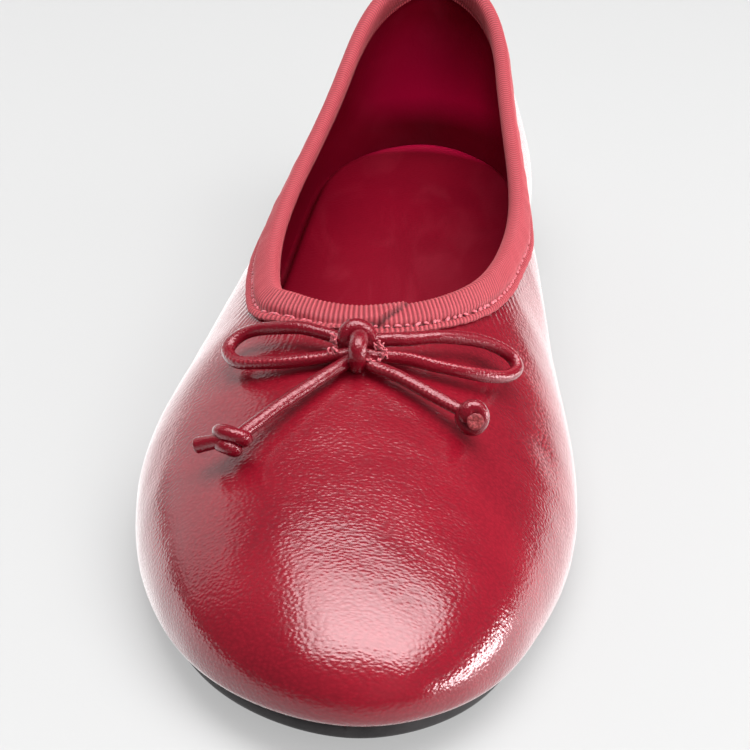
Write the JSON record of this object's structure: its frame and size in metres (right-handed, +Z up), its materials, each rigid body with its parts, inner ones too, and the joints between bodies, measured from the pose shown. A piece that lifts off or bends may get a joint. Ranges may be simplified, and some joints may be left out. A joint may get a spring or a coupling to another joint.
{
  "type": "ballet flat",
  "caption": "Round-toed ballet flat for the right foot: glossy leather upper with a ribbon-bound opening and a small cord bow, over a thin rubber sole with a low heel.",
  "frame": {"origin": "on the floor, under the middle of the shoe's bounding box", "axes": "+Z up, -Y towards the toe, +X towards the inner side of the foot"},
  "size_m": [0.0812, 0.2422, 0.0601],
  "materials": {
    "upper_leather": "glossy red leather with a fine crinkled grain",
    "ribbon": "ribbed ribbon, a lighter red, matt with a soft sheen",
    "insole_leather": "smooth red lining leather, satin",
    "sole_rubber": "dark grey rubber, matt",
    "cord_leather": "round cord covered in the upper's glossy red leather"
  },
  "bodies": {
    "root": {"upper": "upper_leather", "topline_ribbon": "ribbon", "insole": "insole_leather", "outsole": "sole_rubber", "bow_knot": "cord_leather", "bow_loop_outer": "cord_leather", "bow_loop_inner": "cord_leather", "bow_tail_outer": "cord_leather", "bow_tail_inner": "cord_leather", "tail_knot_outer": "cord_leather", "tail_knot_inner": "cord_leather", "tail_end_outer": "cord_leather", "tail_end_inner": "cord_leather"}
  },
  "joints": []
}
